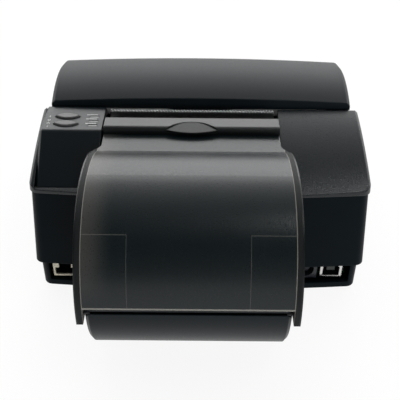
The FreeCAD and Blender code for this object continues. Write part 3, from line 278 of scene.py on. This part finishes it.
def frosted_cover(name):
    """Smoked roll cover: frosted skin with a painted sheen beside one cheek, dull cheeks with a polished
    edge, painted highlights along the rim and the cheeks' inner edges, and score lines.
    """
    material, tree, shader = new_material(name)
    low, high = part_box("roll_cover")
    middle_x = (low.x + high.x) / 2
    half = (high.x - low.x) / 2
    cheek_in = half - CHEEK_WIDTH
    place = tree.nodes.new("ShaderNodeTexCoord")
    axes = tree.nodes.new("ShaderNodeSeparateXYZ")
    tree.links.new(place.outputs["Object"], axes.inputs["Vector"])
    across = calc(tree, "ABSOLUTE", calc(tree, "SUBTRACT", axes.outputs["X"], middle_x), 0)
    height = axes.outputs["Z"]
    cheek = calc(tree, "GREATER_THAN", across, cheek_in)
    cloud = noise(tree, CLOUD_SCALE, CLOUD_DETAIL)
    fine = noise(tree, COVER_GRAIN, SMOOTH)
    dark, pale = [shade(SMOKE, factor) for factor in CLOUD_SHADES]
    skin = ramp(tree, cloud, dark, pale)
    # painted sheen: paler skin beside the cheek on the panel's side, fading out lower down
    sheen_side = soft_step(tree, axes.outputs["X"], middle_x + cheek_in - SHEEN_WIDTH, middle_x + cheek_in)
    above = soft_step(tree, height, high.z - SHEEN_LOW, high.z - SHEEN_HIGH)
    skin = tint(tree, calc(tree, "MULTIPLY", sheen_side, above), skin, PAINTED_SHEEN)
    # painted highlight along the lower rim and its lugs, outside the cheeks
    rim_top = low.z + LUG_LENGTH + RIM_HEIGHT
    rim_highlight = calc(tree, "MULTIPLY", calc(tree, "LESS_THAN", height, rim_top),
               calc(tree, "LESS_THAN", across, cheek_in))
    score_z = high.z - SCORE_DROP
    upright = calc(tree, "MULTIPLY", near(tree, across, SCORE_X, SCORE_HALF),
                   calc(tree, "LESS_THAN", height, score_z))
    outer = near(tree, across, (SCORE_X + cheek_in) / 2, (cheek_in - SCORE_X) / 2)
    level = calc(tree, "MULTIPLY", near(tree, height, score_z, SCORE_HALF), outer)
    score = calc(tree, "MULTIPLY", calc(tree, "MAXIMUM", upright, level), SCORE_SHARE)
    # painted highlight along each cheek's inner edge
    border_highlight = calc(tree, "MULTIPLY", near(tree, across, cheek_in, BORDER_HALF), BORDER_HIGHLIGHT_SHARE)
    colour = tint(tree, cheek, skin, CHEEK)
    colour = tint(tree, border_highlight, colour, LINE_AND_HIGHLIGHT)
    colour = tint(tree, score, colour, LINE_AND_HIGHLIGHT)
    colour = tint(tree, rim_highlight, colour, RIM_HIGHLIGHT)
    tree.links.new(colour, shader.inputs["Base Color"])
    rough = spread(tree, fine, *SATIN)
    inside = calc(tree, "LESS_THAN", across, half - CHEEK_EDGE)
    dull = calc(tree, "MULTIPLY", calc(tree, "MULTIPLY", cheek, inside), CHEEK_DULL)
    tree.links.new(calc(tree, "ADD", rough, dull), shader.inputs["Roughness"])
    shader.inputs["Specular IOR Level"].default_value = COVER_LEVEL
    bump(tree, shader, fine, COVER_RELIEF, GRAIN_DEPTH)
    return material


def board(name, colour):
    """Circuit board with pale tracks under its lacquer."""
    material, tree, shader = new_material(name)
    tracks = tree.nodes.new("ShaderNodeTexBrick")
    tracks.inputs["Scale"].default_value = TRACK_SCALE
    tracks.inputs["Mortar Size"].default_value = TRACK_WIDTH
    tracks.inputs["Color1"].default_value = (*colour, 1.0)
    tracks.inputs["Color2"].default_value = (*shade(colour, BOARD_SHADE), 1.0)
    tracks.inputs["Mortar"].default_value = (*shade(colour, TRACK_SHADE), 1.0)
    place = tree.nodes.new("ShaderNodeTexCoord")
    tree.links.new(place.outputs["Object"], tracks.inputs["Vector"])
    tree.links.new(tracks.outputs["Color"], shader.inputs["Base Color"])
    tree.links.new(spread(tree, noise(tree, LACQUER_SCALE), *LACQUER_ROUGH), shader.inputs["Roughness"])
    return material


def lamp_lens(name, colour):
    """Dark light pipe with faint streaks."""
    material, tree, shader = new_material(name)
    streak = noise(tree, STREAK_SCALE, STREAK_DETAIL)
    tree.links.new(ramp(tree, streak, shade(colour, STREAK_SHADE), colour), shader.inputs["Base Color"])
    tree.links.new(spread(tree, streak, *LENS_ROUGH), shader.inputs["Roughness"])
    return material


def paint_shade_inside(material, node):
    """Paints shade inside a socket behind its front face: a dark colour, and no metal gloss."""
    tree = material.node_tree
    shader = tree.nodes["Principled BSDF"]
    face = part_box(node)[1].y
    place = tree.nodes.new("ShaderNodeTexCoord")
    axes = tree.nodes.new("ShaderNodeSeparateXYZ")
    tree.links.new(place.outputs["Object"], axes.inputs["Vector"])
    # painted shade on everything deeper than the front face
    painted_shade = calc(tree, "LESS_THAN", axes.outputs["Y"], face - SOCKET_RIM)
    front = shader.inputs["Base Color"].links[0].from_socket
    tree.links.new(tint(tree, painted_shade, front, SOCKET_PAINTED_SHADE), shader.inputs["Base Color"])
    metallic = shader.inputs["Metallic"].default_value
    if metallic:
        shown = calc(tree, "SUBTRACT", metallic, painted_shade)
        tree.links.new(shown, shader.inputs["Metallic"])
    return material


LOOKS = {
    "case_plastic": plastic("case_grain", BLACK, grain=1500.0, relief=0.3),
    "panel_plastic": plastic("panel_grain", BLACK, (0.3, 0.4), grain=3200.0, relief=0.08, level=0.28),
    # button caps: grey painted sheen on a satin surface
    "button_plastic": plastic("button_painted_sheen", CAP_PAINTED_SHEEN, (0.3, 0.4), grain=3200.0, relief=0.06, level=0.3),
    "lamp": lamp_lens("lamp_lens", (0.006, 0.009, 0.007)),
    "board": board("board_lacquer", (0.006, 0.03, 0.014)),
    "bucket_plastic": plastic("bucket_grain", BLACK, (0.3, 0.42), level=0.14),
    "steel": metal("ground_steel", (0.62, 0.63, 0.64)),
    "frame_steel": metal("zinc_sheet", (0.45, 0.46, 0.46), (0.32, 0.5)),
    "smoked": frosted_cover("smoked_frost"),
    "grip": plastic("grip_satin", GRIP_BLACK, (0.3, 0.4), grain=3000.0, relief=0.08),
    "roller_rubber": rubber("roller_rubber", (0.012, 0.012, 0.012)),
    "gear_plastic": plastic("acetal", (0.6, 0.59, 0.55), (0.3, 0.42)),
    "motor_can": metal("motor_can", (0.10, 0.10, 0.11), (0.35, 0.5)),
    "head": metal("head_aluminium", (0.55, 0.55, 0.55), (0.3, 0.45)),
    "shell": paint_shade_inside(metal("plated_shell", (0.72, 0.71, 0.69), (0.12, 0.22)), "usb_socket"),
    "jack": paint_shade_inside(plastic("jack_cream", (0.74, 0.69, 0.56), (0.35, 0.5)), "drawer_socket"),
    "socket_plastic": plastic("socket_black", (0.014, 0.016, 0.02)),
    "foot_rubber": rubber("foot_rubber", (0.014, 0.014, 0.014)),
    "table_plastic": plastic("table_grain", (0.018, 0.019, 0.02)),
    "cassette": plastic("cassette_gloss", (0.02, 0.02, 0.022), (0.2, 0.32)),
    "belt": rubber("belt_rubber", (0.01, 0.01, 0.01)),
}
SIDE_LOOK = plastic("side_grain", BLACK, (0.3, 0.42), level=0.04)
NODE_LOOKS = {
    "lower_case": SIDE_LOOK,
    "base_tray": SIDE_LOOK,
    "hood": plastic("hood_grain", BLACK, (0.52, 0.62), level=0.3),
    "tear_bar": metal("ground_edge", (0.5, 0.51, 0.52), (0.28, 0.36), stretch=(12.0, 40.0, 40.0)),
    "cover_hinge_pins": metal("blackened_pin", (0.02, 0.02, 0.022), (0.4, 0.55)),
}
SLOTS = {part["node"]: part["material_slot"] for part in frame["record"]["subparts"]}


def dress_nodes():
    """Gives every CAD node its procedural material."""
    for name, obj in nodes.items():
        look = NODE_LOOKS.get(name, LOOKS[SLOTS[name]])
        if obj.material_slots:
            for material_slot in obj.material_slots:
                material_slot.material = look
        else:
            obj.data.materials.append(look)


# Printed marks on the panel face

MARK_HEIGHT = 0.05 * MM
STROKE = 0.35 * MM
RING_STROKE = 0.3 * MM
RING_STEPS = 24
OPEN_STEPS = 20
COLUMN_SHIFT = 2.6 * MM      # marks beside the caps
ON_SHIFT = 2.6 * MM          # behind the middle of the power cap
ON_LENGTH = 1.6 * MM
STANDBY_SHIFT = 0.6 * MM     # in front of it, as the next ones
STANDBY_RADIUS = 0.85 * MM
STANDBY_GAP = 35             # half of the ring's gap, in degrees
NEEDLE_SHIFT = 1.25 * MM
NEEDLE_LENGTH = 1.0 * MM
OFF_SHIFT = 3.6 * MM
OFF_RADIUS = 0.8 * MM
FEED_LENGTH = 1.8 * MM
LAMP_COUNT = 3
LAMP_DEPTH = 1.3 * MM
LAMP_MARK_SHIFT = 1.2 * MM   # bars beside the lamps, towards the caps
LAMP_MARK_STEP = 1.9 * MM    # and in front of them
LAMP_MARK_LENGTH = 5.6 * MM
LAMP_MARK_WIDTH = 0.7 * MM
MARKS = plastic("mark_ink", MARK_WHITE, (0.5, 0.6), grain=1500.0, relief=0.02)


def flat_piece(name, outline, holes, z, height, fall=0.0):
    """Thin plate from a closed outline and inner outlines, falling towards the rear by a slope."""
    mesh = bpy.data.meshes.new(name)
    shape = bmesh.new()
    loops = []
    for points in (outline, *holes):
        verts = [shape.verts.new((x, y, z)) for x, y in points]
        loops.append([shape.edges.new((verts[i], verts[(i + 1) % len(verts)])) for i in range(len(verts))])
    bmesh.ops.triangle_fill(shape, edges=[e for loop in loops for e in loop], use_beauty=True)
    faces = bmesh.ops.extrude_face_region(shape, geom=shape.faces[:])
    moved = [v for v in faces["geom"] if isinstance(v, bmesh.types.BMVert)]
    bmesh.ops.translate(shape, verts=moved, vec=(0, 0, height))
    front = min(y for x, y in outline)
    for vert in shape.verts:
        vert.co.z -= fall * (vert.co.y - front)
    bmesh.ops.recalc_face_normals(shape, faces=shape.faces[:])
    shape.to_mesh(mesh)
    shape.free()
    piece = bpy.data.objects.new(name, mesh)
    bpy.context.scene.collection.objects.link(piece)
    return piece


def printed(name, outline, holes, z):
    """Raised print on the panel."""
    piece = flat_piece(name, outline, holes, z, MARK_HEIGHT)
    piece.data.materials.append(MARKS)
    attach(piece, "chassis")


def arc_points(centre, radius, start, end, count):
    """Points along an arc, angles in degrees."""
    turns = [math.radians(start + (end - start) * i / count) for i in range(count + 1)]
    return [(centre[0] + radius * math.cos(t), centre[1] + radius * math.sin(t)) for t in turns]


def ring(name, centre, radius, z):
    """Closed ring mark."""
    outer = arc_points(centre, radius, 0, 360, RING_STEPS)[:-1]
    inner = arc_points(centre, radius - RING_STROKE, 0, 360, RING_STEPS)[:-1]
    printed(name, outer, [inner], z)


def open_ring(name, centre, radius, gap, z):
    """Ring with a gap at its far side."""
    outer = arc_points(centre, radius, -90 + gap, 270 - gap, OPEN_STEPS)
    inner = arc_points(centre, radius - RING_STROKE, 270 - gap, -90 + gap, OPEN_STEPS)
    printed(name, outer + inner, (), z)


def bar(name, centre, width, depth, z):
    """Rectangular mark."""
    x, y = centre
    half_x, half_y = width / 2, depth / 2
    points = [(x - half_x, y - half_y), (x + half_x, y - half_y),
              (x + half_x, y + half_y), (x - half_x, y + half_y)]
    printed(name, points, (), z)


def panel_marks():
    """Generic on, standby and off marks beside the buttons, and plain bars by the lamps."""
    low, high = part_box("power_button")
    feed_low, feed_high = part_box("feed_button")
    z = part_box("control_panel")[1].z
    x = high.x + COLUMN_SHIFT
    rear = (low.y + high.y) / 2
    front = (feed_low.y + feed_high.y) / 2
    bar("mark_on", (x, rear + ON_SHIFT), STROKE, ON_LENGTH, z)
    open_ring("mark_standby", (x, rear - STANDBY_SHIFT), STANDBY_RADIUS, STANDBY_GAP, z)
    bar("mark_standby_line", (x, rear - NEEDLE_SHIFT), RING_STROKE, NEEDLE_LENGTH, z)
    ring("mark_off", (x, rear - OFF_SHIFT), OFF_RADIUS, z)
    bar("mark_feed", (x, front), STROKE, FEED_LENGTH, z)
    lamp_low, lamp_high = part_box("led_windows")
    lamp_x = (lamp_low.x + lamp_high.x) / 2 + LAMP_MARK_SHIFT
    pitch = (lamp_high.y - lamp_low.y - LAMP_DEPTH) / (LAMP_COUNT - 1)
    for i in range(LAMP_COUNT):
        y = lamp_low.y + LAMP_DEPTH / 2 + i * pitch - LAMP_MARK_STEP
        bar(f"mark_lamp_{i}", (lamp_x, y), LAMP_MARK_LENGTH, LAMP_MARK_WIDTH, z)


# Finger lip in the scoop of the grip bar

LIP_HALF = 12.9 * MM
LIP_IN = 6.35 * MM           # into the bar, from its rear edge
LIP_OUT = 2.2 * MM           # and past it
LIP_THICK = 0.8 * MM
LIP_SINK = 0.1 * MM          # below the bar's top
LIP_FALL = 0.13              # slope to the rear


def bow(middle_x, chord_y, rise, count=16):
    """Points of an arc over the lip's length, bowed to the front or, with a rise below 0, to the rear."""
    radius = (LIP_HALF ** 2 + rise ** 2) / (2 * abs(rise))
    side = math.copysign(1.0, rise)
    centre = (middle_x, chord_y + side * (radius - abs(rise)))
    reach = math.degrees(math.asin(LIP_HALF / radius))
    up = -90.0 * side
    return arc_points(centre, radius, up - reach, up + reach, count)


def finger_lip():
    """Lens-shaped lip for the fingertip, lower than the bar's top."""
    low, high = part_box("cover_grip_bar")
    middle_x = (low.x + high.x) / 2
    outline = bow(middle_x, high.y, LIP_IN) + bow(middle_x, high.y, -LIP_OUT)[1:-1]
    lip = flat_piece("finger_lip", outline, (), high.z - LIP_SINK - LIP_THICK, LIP_THICK, LIP_FALL)
    lip.data.materials.append(LOOKS["grip"])
    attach(lip, "roll_cover")


# Room

WHITE = (1.0, 1.0, 1.0)
FLOOR_SIZE = 6.0
FLOOR_GREY = (0.86, 0.86, 0.86)
FLOOR_ROUGH = 0.9
FLOOR_LEVEL = 0.1
LAMP_AIM = (0, 0.05, 0.03)   # of the two lamps for the shadow
LAMP_SIZE = (0.5, 0.5)
SHADOW_LAMPS = (("top", (0.1, -0.2, 0.9), 2.0), ("fill", (-0.3, 0.8, 0.25), 4.0))
GLINT_PLACE = (-0.36, 0.25, 1.05)
GLINT_AIM = (-0.06, 0.04, 0.07)
GLINT_SIZE = (0.32, 0.09)
GLINT_POWER = 1.6


def floor_material():
    """Pale floor that shows white and keeps a soft shadow."""
    material, tree, shader = new_material("floor_white")
    shader.inputs["Base Color"].default_value = (*FLOOR_GREY, 1.0)
    shader.inputs["Roughness"].default_value = FLOOR_ROUGH
    shader.inputs["Specular IOR Level"].default_value = FLOOR_LEVEL
    glow = tree.nodes.new("ShaderNodeEmission")
    glow.inputs["Color"].default_value = (*WHITE, 1.0)
    rays = tree.nodes.new("ShaderNodeLightPath")
    seen = calc(tree, "MAXIMUM", rays.outputs["Is Camera Ray"], rays.outputs["Is Glossy Ray"])
    seen = calc(tree, "MAXIMUM", seen, rays.outputs["Is Transmission Ray"])
    mix = tree.nodes.new("ShaderNodeMixShader")
    tree.links.new(calc(tree, "MULTIPLY", seen, FLOOR_GLOW), mix.inputs["Fac"])
    tree.links.new(shader.outputs["BSDF"], mix.inputs[1])
    tree.links.new(glow.outputs["Emission"], mix.inputs[2])
    tree.links.new(mix.outputs["Shader"], tree.nodes["Material Output"].inputs["Surface"])
    return material


def room():
    """Pale floor, and a world that shows white but lights with the room's bands."""
    bpy.ops.mesh.primitive_plane_add(size=FLOOR_SIZE, location=(0, 0, 0))
    floor = bpy.context.object
    floor.name = "floor"
    floor.data.materials.append(floor_material())
    world = bpy.data.worlds.new("room")
    bpy.context.scene.world = world
    world.use_nodes = True
    tree = world.node_tree
    background = tree.nodes["Background"]
    place = tree.nodes.new("ShaderNodeTexCoord")
    axes = tree.nodes.new("ShaderNodeSeparateXYZ")
    tree.links.new(place.outputs["Generated"], axes.inputs["Vector"])
    forward = calc(tree, "MULTIPLY", axes.outputs["Y"], -1.0)
    turn = calc(tree, "ARCTAN2", axes.outputs["Z"], forward)
    share = calc(tree, "DIVIDE", calc(tree, "MAXIMUM", turn, 0.0), math.pi)
    sky = tree.nodes.new("ShaderNodeValToRGB")
    sky.color_ramp.interpolation = "EASE"
    stops = sky.color_ramp.elements
    for stop, (position, value) in zip(stops, (SKY[0], SKY[-1])):
        stop.position = position
        stop.color = (value, value, value, 1.0)
    for position, value in SKY[1:-1]:
        stops.new(position).color = (value, value, value, 1.0)
    tree.links.new(share, sky.inputs["Fac"])
    rays = tree.nodes.new("ShaderNodeLightPath")
    mirrored = calc(tree, "MULTIPLY", rays.outputs["Is Glossy Ray"],
                    calc(tree, "LESS_THAN", axes.outputs["Z"], BACKDROP_SINE))
    seen = calc(tree, "MAXIMUM", rays.outputs["Is Camera Ray"], rays.outputs["Is Transmission Ray"])
    seen = calc(tree, "MAXIMUM", seen, mirrored)
    white = tint(tree, seen, sky.outputs["Color"], WHITE)
    tree.links.new(white, background.inputs["Color"])
    strength = tree.nodes.new("ShaderNodeMapRange")
    strength.inputs["To Min"].default_value = SKY_LEVEL
    strength.inputs["To Max"].default_value = 1.0
    tree.links.new(seen, strength.inputs["Value"])
    tree.links.new(strength.outputs["Result"], background.inputs["Strength"])


def area_light(name, location, target, size, power):
    """Soft rectangular lamp aimed at a point."""
    data = bpy.data.lights.new(name, "AREA")
    data.shape = "RECTANGLE"
    data.size, data.size_y = size
    data.energy = power
    lamp = bpy.data.objects.new(name, data)
    lamp.location = location
    lamp.rotation_euler = (Vector(target) - Vector(location)).to_track_quat("-Z", "Y").to_euler()
    bpy.context.scene.collection.objects.link(lamp)
    return lamp


def lights():
    """Two weak lamps for a soft shadow on the floor, and one that shows in the gloss."""
    for name, place, power in SHADOW_LAMPS:
        lamp = area_light(name, place, LAMP_AIM, LAMP_SIZE, power)
        lamp.visible_glossy = False
    area_light("glint", GLINT_PLACE, GLINT_AIM, GLINT_SIZE, GLINT_POWER)


def camera():
    """Camera at the viewing angle of the photograph."""
    data = bpy.data.cameras.new("camera")
    data.sensor_width = CAMERA_SENSOR
    data.lens = CAMERA_LENS
    obj = bpy.data.objects.new("camera", data)
    turn = Euler((math.radians(90 - CAMERA_PITCH), 0, math.pi)).to_matrix()
    roll = Matrix.Rotation(math.radians(CAMERA_ROLL), 3, "Z")
    obj.rotation_euler = (turn @ roll).to_euler()
    obj.location = (0, CAMERA_BACK, CAMERA_UP)
    data.clip_start, data.clip_end = CAMERA_NEAR, CAMERA_FAR
    bpy.context.scene.collection.objects.link(obj)
    bpy.context.scene.camera = obj


def write_sizes():
    """Brings the scene's transforms up to date."""
    bpy.context.view_layer.update()


bpy.context.scene.view_settings.view_transform = "Standard"
dress_nodes()
panel_marks()
finger_lip()
room()
lights()
camera()
write_sizes()
